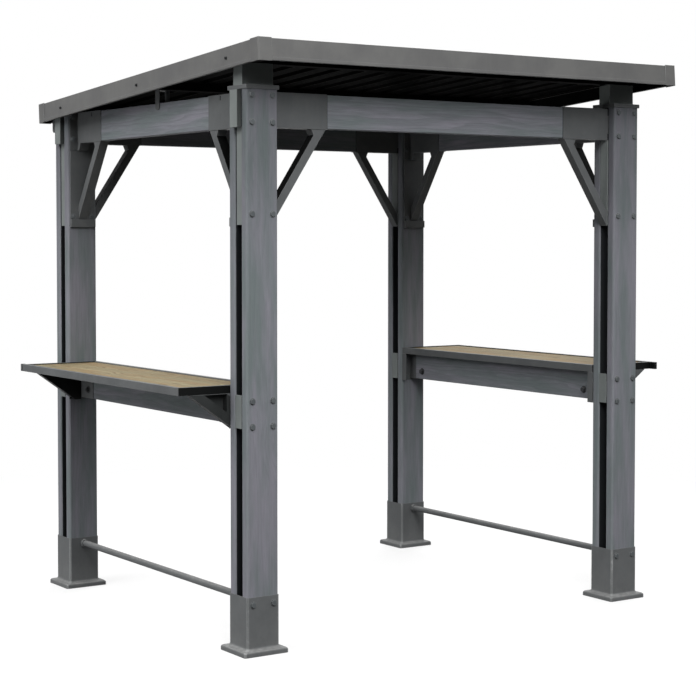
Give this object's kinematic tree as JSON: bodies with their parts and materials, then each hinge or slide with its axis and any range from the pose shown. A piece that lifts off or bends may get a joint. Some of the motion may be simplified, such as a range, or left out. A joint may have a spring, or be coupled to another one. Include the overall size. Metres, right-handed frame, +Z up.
{
  "type": "grill gazebo",
  "caption": "Open grill gazebo with slotted board posts in steel base sleeves, knee-braced sleeved beams, a bar counter along each side and a single-slope ribbed metal roof.",
  "frame": {"origin": "middle of the bounding box in plan, on the ground under the base sleeves", "axes": "+X along the front to the right, +Y from the high front edge of the roof to its low back edge, +Z up"},
  "size_m": [2.57, 2.0626, 2.459],
  "materials": {
    "grey_stained_wood": "blue-grey stain with faint grain, eased edges",
    "counter_wood": "tan oiled boards",
    "frame_steel": "satin mid-grey powder coat",
    "fascia_steel": "satin grey powder coat",
    "roof_steel": "dark ribbed coated sheet",
    "bolt_steel": "dark coated fasteners"
  },
  "bodies": {
    "root": {"apron_rail_left": "grey_stained_wood", "apron_rail_right": "grey_stained_wood", "base_sleeve_back_left": "frame_steel", "base_sleeve_back_right": "frame_steel", "base_sleeve_front_left": "frame_steel", "base_sleeve_front_right": "frame_steel", "beam_back": "grey_stained_wood", "beam_front": "grey_stained_wood", "beam_left": "grey_stained_wood", "beam_right": "grey_stained_wood", "bolts": "bolt_steel", "brace_foot_plates": "frame_steel", "counter_boards_left": "counter_wood", "counter_boards_right": "counter_wood", "counter_bracket_back_left": "frame_steel", "counter_bracket_back_right": "frame_steel", "counter_bracket_front_left": "frame_steel", "counter_bracket_front_right": "frame_steel", "counter_frame_left": "frame_steel", "counter_frame_right": "frame_steel", "fascia_back": "fascia_steel", "fascia_corners": "fascia_steel", "fascia_front": "fascia_steel", "fascia_left": "fascia_steel", "fascia_right": "fascia_steel", "foot_rail_left": "frame_steel", "foot_rail_right": "frame_steel", "front_risers": "frame_steel", "long_brace_back_left": "frame_steel", "long_brace_back_right": "frame_steel", "long_brace_front_left": "frame_steel", "long_brace_front_right": "frame_steel", "long_sleeve_back_left": "frame_steel", "long_sleeve_back_right": "frame_steel", "long_sleeve_front_left": "frame_steel", "long_sleeve_front_right": "frame_steel", "post_caps": "frame_steel", "post_inner_board_back_left": "grey_stained_wood", "post_inner_board_back_right": "grey_stained_wood", "post_inner_board_front_left": "grey_stained_wood", "post_inner_board_front_right": "grey_stained_wood", "post_outer_board_back_left": "grey_stained_wood", "post_outer_board_back_right": "grey_stained_wood", "post_outer_board_front_left": "grey_stained_wood", "post_outer_board_front_right": "grey_stained_wood", "purlin_saddles": "frame_steel", "roof_hold_downs": "frame_steel", "roof_purlins": "roof_steel", "roof_sheets": "roof_steel", "side_brace_back_left": "frame_steel", "side_brace_back_right": "frame_steel", "side_brace_front_left": "frame_steel", "side_brace_front_right": "frame_steel", "side_sleeve_back_left": "frame_steel", "side_sleeve_back_right": "frame_steel", "side_sleeve_front_left": "frame_steel", "side_sleeve_front_right": "frame_steel", "slot_blocks": "frame_steel", "tongue_end_caps": "frame_steel"}
  },
  "joints": []
}
